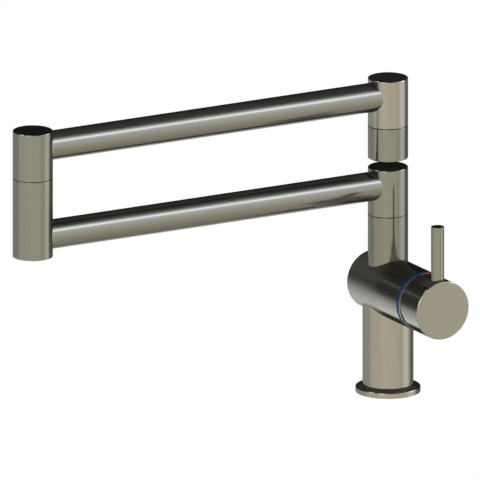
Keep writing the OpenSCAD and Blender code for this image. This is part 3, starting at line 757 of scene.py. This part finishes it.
# Swivelling blocks, with the spindle that hangs in the joint below them
swivelBlock = {
    "radius": 15, "armSeat": (11.03, 8, 30), "armDrop": 13.6, "bottomRim": 0.2, "topRim": 0.65, "waterBore": 5.5,
    "spindle": 10.6, "land": 2, "slideGroove": (9.12, 4), "sealGroove": (8.42, 3.25), "lockGroove": (8.42, 4.6),
    "grooves": ("slideGroove", "sealGroove", "sealGroove", "lockGroove", "slideGroove"),  # from the seat down
}


def spindleSteps(look, seat):
    steps, depth = [(look["spindle"], seat)], 0
    for groove in look["grooves"]:
        radius, high = look[groove]
        depth += look["land"]
        steps += [(look["spindle"], seat - depth), (radius, seat - depth)]
        depth += high
        steps += [(radius, seat - depth), (look["spindle"], seat - depth)]
    depth += look["land"]
    steps.append((look["spindle"], seat - depth))
    return steps[::-1]


def makeSwivelBlock(name, look, x, seat, top):
    spindle = spindleSteps(look, seat)
    foot = (x, 0, 0)
    piece = turnPiece(name, spindle + [(look["radius"], seat), (look["radius"], top)], foot=foot, sides=192)
    roundRims(piece, [(look["radius"], seat, look["bottomRim"]), (look["radius"], top, look["topRim"])], foot=foot)
    armHeight = top - look["armDrop"]
    radius, near, far = look["armSeat"]
    start, end = (near, far) if x == 0 else (-far, -near)  # the arm leaves the elbow the other way
    cutAway(
        piece,
        bar(radius, start, end, "arm", (x, 0, armHeight)),
        bar(look["waterBore"], spindle[0][1] - 1, armHeight, foot=foot, sides=holeSides),
    )
    return piece


lowerHub = makeSwivelBlock("lowerHub", swivelBlock, x=0, seat=137.4, top=173.3)
finishPiece(lowerHub, "lowerHub", "lower_arm", "brushed_nickel", "lower_hub", hubNickel)
elbowHead = makeSwivelBlock("elbowHead", swivelBlock, x=elbowX, seat=205.8, top=242.0)
finishPiece(elbowHead, "elbowHead", "upper_arm", "brushed_nickel", "elbow_head", hubNickel)

# Tall lower part of the elbow, with the bore for the upper spindle
socket = {
    "steps": [(15, 144.9), (15, 205.3)], "rims": [(15, 144.9, 0.2), (15, 205.3, 0.2)], "foot": (elbowX, 0, 0),
    "bore": (11, 173.7, 210), "armSeat": (11.03, -30, -8), "armPlace": (elbowX, 0, 159.7),
    "waterBore": (5.5, 154.2, 190), "lockHole": (2, 0, 16), "lockPlace": (elbowX, 0, 185.03),
}
elbowSocket = turnPiece("elbowSocket", socket["steps"], foot=socket["foot"], sides=192)
roundRims(elbowSocket, socket["rims"], foot=socket["foot"])
cutAway(
    elbowSocket,
    bar(*socket["bore"], foot=socket["foot"]),
    bar(*socket["armSeat"], "arm", socket["armPlace"]),
    bar(*socket["waterBore"], foot=socket["foot"], sides=holeSides),
    bar(*socket["lockHole"], "back", socket["lockPlace"], 48),
)
finishPiece(elbowSocket, "elbowSocket", "lower_arm", "brushed_nickel", "elbow_socket", hubNickel)

# Arm tubes, made once and copied
tube = {
    "inner": 9.5, "outer": 11, "start": 8, "end": 296, "rims": [(11, 8, 0.3), (11, 296, 0.3)],
    "lower": 159.7, "upper": 228.4,
}
lowerArm = turnPiece("lowerArmTube", ringSteps(tube), "arm", (0, 0, tube["lower"]), 160)
roundRims(lowerArm, tube["rims"], "arm", (0, 0, tube["lower"]))
upperArm = lowerArm.copy()
upperArm.data = lowerArm.data.copy()
bpy.context.collection.objects.link(upperArm)
editMesh(upperArm)
bpy.ops.mesh.select_all(action="SELECT")
bpy.ops.transform.translate(value=(0, 0, (tube["upper"] - tube["lower"]) * mm))
leaveMesh()
finishPiece(lowerArm, "lowerArmTube", "lower_arm", "brushed_nickel", "lower_arm_tube", armNickel)
finishPiece(upperArm, "upperArmTube", "upper_arm", "brushed_nickel", "upper_arm_tube", armNickel)
print("hub, elbow and arms made")

# Outlet: head with its threaded nipple, nozzle, and the aerator's housing
outlet = {
    "steps": [(10.45, 197.8), (10.45, 205.8), (15, 205.8), (15, 242)],
    "rims": [(10.45, 197.8, 0.5), (15, 205.8, 0.2), (15, 242, 0.5)],
    "armSeat": (11.03, 8, 30),
    "waterBore": (5.5, 190, tube["upper"]),
    "thread": {"radius": 10.95, "depth": 0.55, "pitch": 1, "length": 7, "start": 198.3, "steps": 48},
}
outletHead = turnPiece("outletHead", outlet["steps"], sides=192)
roundRims(outletHead, outlet["rims"])
cutAway(
    outletHead,
    bar(*outlet["armSeat"], "arm", (0, 0, tube["upper"])),
    bar(*outlet["waterBore"], sides=holeSides),
)
join(outletHead, threadRidge(**outlet["thread"]))
finishPiece(outletHead, "outletHead", "upper_arm", "brushed_nickel", "outlet_head", headNickel)

nozzle = {
    "steps": [
        (12.03, 180.2), (15, 180.2), (15, 205.3), (11, 205.3), (11, 196.8), (9, 196.8), (9, 190.8),
        (12.03, 190.8), (12.03, 180.2),
    ],
    "rims": [(15, 180.2, 0.6), (15, 205.3, 0.2), (12.03, 180.2, 0.15)],
}
outletNozzle = turnPiece("outletNozzle", nozzle["steps"], sides=192)
roundRims(outletNozzle, nozzle["rims"])
finishPiece(outletNozzle, "outletNozzle", "upper_arm", "brushed_nickel", "outlet_nozzle", hubNickel)

aerator = {
    "steps": [(8.9, 180.8), (12, 180.8), (12, 189.3), (9.8, 189.3), (9.8, 181.7), (8.9, 181.7), (8.9, 180.8)],
    "rims": [(12, 180.8, 0.2), (8.9, 180.8, 0.15), (12, 189.3, 0.2)],
    "notchSize": (11, 2.2, 3),
    "notchOut": 13.5,
    "notchHeight": 180.8,
    "notchTurns": (0, 90, 180, 270),
}
aeratorHousing = turnPiece("aeratorHousing", aerator["steps"], sides=128)
roundRims(aeratorHousing, aerator["rims"])
for turn in aerator["notchTurns"]:
    spin = math.radians(turn)
    centre = (aerator["notchOut"] * math.cos(spin), aerator["notchOut"] * math.sin(spin), aerator["notchHeight"])
    cutAway(aeratorHousing, block(centre, aerator["notchSize"], (0, 0, spin)))
finishPiece(aeratorHousing, "aeratorHousing", "upper_arm", "bright_chrome", "aerator_housing", chrome)
print("outlet made")

# Worktop fixing: threaded stud, slotted clamp plates and nut
stud = {
    "steps": [(3.35, -59.5), (3.35, 47)], "rims": [(3.35, -59.5, 0.5), (3.35, 47, 0.5)], "foot": (0, 11, 0),
    "thread": {"radius": 3.95, "depth": 0.6, "pitch": 1.25, "length": 105.5, "start": -59},
}
fixingStud = turnPiece("fixingStud", stud["steps"], foot=stud["foot"], sides=48)
roundRims(fixingStud, stud["rims"], foot=stud["foot"])
join(fixingStud, threadRidge(**stud["thread"], foot=stud["foot"]))
finishPiece(fixingStud, "fixingStud", "base", "plain_steel", "fixing_stud", plainSteel)

clampPlate = {"radius": 24, "slot": (28, 60, 20), "web": 5.5, "hole": 4.5, "rimAngle": 50}


def makeClampPlate(name, look, bottom, top, rim):
    plate = turnPiece(name, [(look["radius"], bottom), (look["radius"], top)], sides=144)
    cutAway(
        plate,
        block((0, look["web"] - look["slot"][1] / 2, (top + bottom) / 2), look["slot"]),
        bar(look["hole"], bottom - 1, top + 1, foot=stud["foot"], sides=holeSides),
    )
    angle = math.radians(look["rimAngle"])
    addModifier(plate, "BEVEL", width=rim * mm, segments=2, limit_method="ANGLE", angle_limit=angle)
    return plate


clampGasket = makeClampPlate("clampGasket", clampPlate, bottom=-33, top=-30, rim=0.4)
finishPiece(clampGasket, "clampGasket", "base", "black_rubber", "clamp_gasket", rubber)
clampWasher = makeClampPlate("clampWasher", clampPlate, bottom=-35, top=-33, rim=0.25)
finishPiece(clampWasher, "clampWasher", "base", "plain_steel", "clamp_washer", plainSteel)

nut = {"corner": 7.506, "bottom": -41.5, "top": -35, "bore": 4.0, "chamferIn": 0.9, "chamferHigh": 0.6, "spare": 0.05}


def makeNut(look):
    low, top, corner = look["bottom"], look["top"], look["corner"]
    selectOnly()
    bpy.ops.mesh.primitive_cylinder_add(
        vertices=6, radius=corner * mm, depth=(top - low) * mm,
        location=place((0, stud["foot"][1], (top + low) / 2)), rotation=(0, 0, math.pi / 6),
    )
    hexagon = bpy.context.object
    bpy.ops.object.transform_apply(location=True, rotation=True, scale=True)
    narrow, wide, high = corner - look["chamferIn"], corner + look["spare"], look["chamferHigh"]
    steps = [(narrow, low), (wide, low + high), (wide, top - high), (narrow, top)]
    combine(hexagon, turnPiece("chamfers", steps, foot=stud["foot"], sides=96), "INTERSECT")
    cutAway(hexagon, bar(look["bore"], low - 1, top + 1, foot=stud["foot"], sides=holeSides))
    return hexagon


clampNut = makeNut(nut)
finishPiece(clampNut, "clampNut", "base", "plain_steel", "clamp_nut", plainSteel)
print("worktop fixing made")

# Lock screws with a coned tip and a hexagonal key socket
lockScrew = {
    "steps": [(1.182, 8.72), (1.6154, 9.508), (1.6154, 14.2)], "key": (1.0, 11.46, 15.2),
    "thread": {"radius": 1.9503, "depth": 0.3546, "pitch": 0.7, "length": 4.692, "start": 9.508},
}


def makeLockScrew(look, foot):
    screw = turnPiece("lockScrew", look["steps"], "back", foot, 48)
    cutAway(screw, bar(*look["key"], "back", foot, 6))
    join(screw, threadRidge(**look["thread"], axis="back", foot=foot))
    return screw


columnScrew = makeLockScrew(lockScrew, bodyCasting["lockPlace"])
finishPiece(columnScrew, "columnLockScrew", "base", "plain_steel", "column_lock_screw", plainSteel)
elbowScrew = makeLockScrew(lockScrew, socket["lockPlace"])
finishPiece(elbowScrew, "elbowLockScrew", "lower_arm", "plain_steel", "elbow_lock_screw", plainSteel)

# What stays as the CAD node it is gets its finish in its own slots
nodeFinishes = [
    (rubber, ["base_seal", "port_seals", "column_washer", "column_orings", "elbow_washer", "elbow_orings",
              "nozzle_seal", "aerator_gasket"]),
    (whitePlastic, ["cartridge_base", "cartridge_rotor", "column_slide_rings", "elbow_slide_rings", "aerator_insert"]),
    (greyPlastic, ["cartridge_housing", "disc_carrier"]),
    (ceramic, ["fixed_disc", "moving_disc"]),
    (brass, ["control_stem", "cartridge_nut"]),
    (plainSteel, ["stem_pin", "handle_grub_screw"]),
]
for finish, names in nodeFinishes:
    for name in names:
        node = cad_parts[name]
        for index in range(max(1, len(node.data.materials))):
            if index < len(node.material_slots):
                node.material_slots[index].material = finish
            else:
                node.data.materials.append(finish)
print("CAD nodes finished")

# Floor: white from above, seen through from below, and left out of the metal's reflections
floorSize = 6000


def makeFloor():
    selectOnly()
    bpy.ops.mesh.primitive_plane_add(size=floorSize * mm, location=(0, 0, 0))
    floor = bpy.context.object
    floor.name = "floor"
    material, tree, shader = startMaterial("whiteGround")
    tree.nodes.remove(shader)
    white = addNode(tree, "ShaderNodeEmission", {"Color": (1, 1, 1, 1), "Strength": 1.0}).outputs[0]
    clear = addNode(tree, "ShaderNodeBsdfTransparent").outputs[0]
    under = addNode(tree, "ShaderNodeNewGeometry").outputs["Backfacing"]
    both = addNode(tree, "ShaderNodeMixShader", {0: under, 1: white, 2: clear}).outputs[0]
    tree.links.new(both, tree.nodes["Material Output"].inputs["Surface"])
    floor.data.materials.append(material)
    floor.visible_diffuse = floor.visible_glossy = floor.visible_transmission = floor.visible_shadow = False


makeFloor()

# Studio light: one ramp of brightness over height for each side of the room, blended round the tap.
# Each stop is (degrees above the horizon, brightness, warmth from 0 to 1).
studio = {
    "behindRight": [
        (-90, 0.4, 1), (-60, 0.25, 0.8), (-48, 0.35, 0.6), (-36, 0.7, 0.4), (-31, 0.62, 0.4), (-27, 0.2, 0.3),
        (-22, 0.13, 0.4), (-15, 0.13, 0.4), (-10, 0.06, 0.5), (-5, 0.02, 0.6), (0, 0.012, 0.6), (18, 0.012, 0.5),
        (27, 0.03, 0.5), (45, 0.042, 0.5), (64, 0.056, 0.5), (90, 0.045, 0.3),
    ],
    "front": [
        (-90, 0.5, 1), (-62, 0.5, 1), (-47, 0.42, 1), (-36, 0.45, 1), (-26, 0.52, 1), (-15, 0.585, 1),
        (-5, 0.58, 0.8), (5, 0.5, 0.4), (12, 0.3, 0.2), (20, 0.24, 0.3), (35, 0.24, 0.3), (50, 0.12, 0.3),
        (90, 0.045, 0.3),
    ],
    "frontRight": [
        (-90, 0.5, 1), (-62, 0.5, 1), (-47, 0.375, 1), (-36.5, 0.385, 1), (-26, 0.43, 1), (-15, 0.485, 1),
        (-5, 0.55, 0.7), (5, 0.585, 0.3), (15, 0.66, 0.1), (22, 0.72, 0), (27, 0.86, 0), (31, 1.3, 0),
        (34, 1.9, 0), (38, 1.4, 0), (43, 0.7, 0), (47, 0.38, 0), (52, 0.15, 0), (59, 0.08, 0.3),
        (63, 0.055, 0.3), (90, 0.045, 0.3),
    ],
    "right": [
        (-90, 0.4, 1), (-60, 0.3, 1), (-48, 0.33, 0.8), (-36, 0.5, 0.8), (-30, 0.6, 0.8), (-15, 0.76, 0.6),
        (0, 0.8, 0.4), (12, 1.0, 0.2), (30, 1.1, 0), (41, 1.3, 0), (46, 0.72, 0), (52, 0.17, 0),
        (58, 0.06, 0.3), (66, 0.045, 0.3), (90, 0.04, 0.3),
    ],
    "behindLeft": [
        (-90, 0.5, 1), (-50, 0.6, 0.6), (-33, 0.74, 0.4), (-25, 0.57, 0.4), (-19, 0.46, 0.4), (-14, 0.33, 0.4),
        (-9, 0.15, 0.4), (-4, 0.065, 0.4), (2, 0.045, 0.5), (8, 0.045, 0.5), (15, 0.05, 0.5), (19, 0.115, 0.5),
        (23, 0.04, 0.5), (34, 0.02, 0.5), (46, 0.022, 0.5), (90, 0.035, 0.3),
    ],
    "left": [
        (-90, 0.5, 1), (-40, 0.5, 1), (-15, 0.55, 0.9), (0, 0.45, 0.5), (15, 0.25, 0.2), (30, 0.1, 0),
        (50, 0.05, 0.3), (90, 0.045, 0.3),
    ],
}
# The share of each side at each angle round the tap, with 0 in front of it and 90 on its right.
# What no side takes is left to behindRight.
studioSides = {
    "front": [(-180, 0), (-90, 0), (-76, 1), (26, 1), (34, 0), (180, 0)],
    "frontRight": [(-180, 0), (12, 0), (26, 1), (54, 1), (64, 0), (180, 0)],
    "right": [(-180, 0), (36, 0), (54, 1), (66, 1), (98, 0), (180, 0)],
    "behindLeft": [(-180, 0.7), (-168, 1), (-108, 1), (-98, 0), (158, 0), (180, 0.7)],
    "left": [(-180, 0), (-125, 0), (-108, 1), (-75, 1), (-55, 0), (180, 0)],
}
# Round lamps are (degrees round the tap, degrees above the horizon, half width in degrees, brightness).
# They fade from full to nothing between these two shares of their half width.
studioLamps = [(-120, 54, 8, 7.0), (84, 37, 8, 7.0), (-56, 28, 11, 3.0), (-48, 12, 10, 3.0)]
lampFade = (0.6, 1.3)
warmLight, coolLight = (1.07, 1.0, 0.84), (1.0, 1.03, 1.14)


def addRamp(tree, value, stops):
    node = addNode(tree, "ShaderNodeValToRGB", {"Fac": value})
    node.color_ramp.interpolation = "EASE"
    elements = node.color_ramp.elements
    while len(elements) < len(stops):
        elements.new(0.5)
    for element, (position, colour) in zip(elements, stops):
        element.position = position
    for element, (position, colour) in zip(elements, stops):
        element.color = colour
    return node.outputs["Color"]


def sideRamp(tree, height, side):
    stops = []
    for degrees, bright, warm in studio[side]:
        tint = [w * warm + c * (1 - warm) for w, c in zip(warmLight, coolLight)]
        stops.append(((degrees + 90) / 180, tuple(bright * part for part in tint) + (1,)))
    return addRamp(tree, height, stops)


def makeWorld():
    world = bpy.data.worlds.new("studio")
    bpy.context.scene.world = world
    world.use_nodes = True
    tree = world.node_tree
    direction = addNode(tree, "ShaderNodeTexCoord").outputs["Generated"]
    toward = addNode(tree, "ShaderNodeSeparateXYZ", {0: direction}).outputs
    height = remap(tree, maths(tree, "ARCSINE", toward["Z"]), -math.pi / 2, math.pi / 2)
    turn = maths(tree, "ARCTAN2", toward["X"], maths(tree, "MULTIPLY", toward["Y"], -1.0))
    way = remap(tree, turn, -math.pi, math.pi)
    total = sideRamp(tree, height, "behindRight")
    for side, shares in studioSides.items():
        share = addRamp(tree, way, [((degrees + 180) / 360, (part, part, part, 1)) for degrees, part in shares])
        total = mixColours(tree, share, total, sideRamp(tree, height, side))
    for around, above, half, bright in studioLamps:
        a, e = math.radians(around), math.radians(above)
        aim = (math.sin(a) * math.cos(e), -math.cos(a) * math.cos(e), math.sin(e))
        facing = vectorMaths(tree, "DOT_PRODUCT", direction, aim, "Value")
        full, gone = (math.cos(math.radians(half * share)) for share in lampFade)
        glow = remap(tree, facing, gone, full, end=bright)
        total = vectorMaths(tree, "ADD", total, glow)
    seen = addNode(tree, "ShaderNodeLightPath").outputs["Is Camera Ray"]
    total = mixColours(tree, seen, total, (1, 1, 1, 1))
    tree.links.new(total, tree.nodes["Background"].inputs["Color"])


makeWorld()
bpy.context.scene.view_settings.view_transform = "Standard"
print("floor and studio made")
